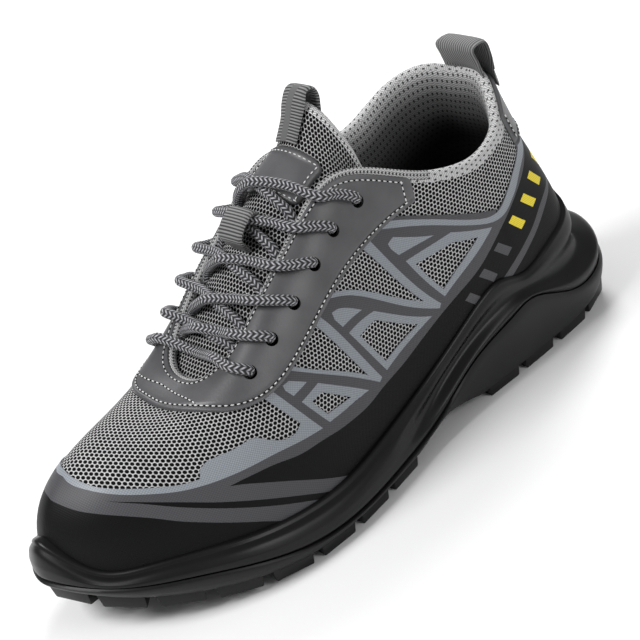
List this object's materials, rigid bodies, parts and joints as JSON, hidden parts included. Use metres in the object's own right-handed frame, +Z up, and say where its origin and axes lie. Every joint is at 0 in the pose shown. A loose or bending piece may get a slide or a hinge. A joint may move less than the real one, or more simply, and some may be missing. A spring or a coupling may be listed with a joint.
{
  "type": "steel-toe safety shoe",
  "caption": "Low lace-up safety shoe for the left foot: hollow mesh upper with eyestay, padded collar and tongue, pull loops, and a lugged rubber sole with a flared heel.",
  "frame": {"origin": "middle of the bounding box, on the floor that the sole stands on", "axes": "+X to the outer side of the left foot, +Y towards the heel, +Z up"},
  "size_m": [0.1063, 0.3045, 0.1594],
  "materials": {
    "rubber": "matt black moulded rubber",
    "foam": "satin black moulded foam",
    "lining": "dark knitted cloth",
    "mesh_cloth": "open grey and black mesh with printed film",
    "leather": "smooth dark grey",
    "webbing": "ribbed grey webbing",
    "lace": "round braided cord with light flecks"
  },
  "bodies": {
    "root": {"outsole": "rubber", "midsole": "foam", "insole": "lining", "upper": "mesh_cloth", "eyestay": "leather", "heel_tab": "leather", "tongue": "mesh_cloth", "tongue_patch": "leather", "tongue_loop": "webbing", "lace_keeper": "webbing", "heel_loop": "webbing", "lace_cross_1": "lace", "lace_cross_2": "lace", "lace_cross_3": "lace", "lace_cross_4": "lace", "lace_cross_5": "lace", "lace_bar": "lace"}
  },
  "joints": []
}
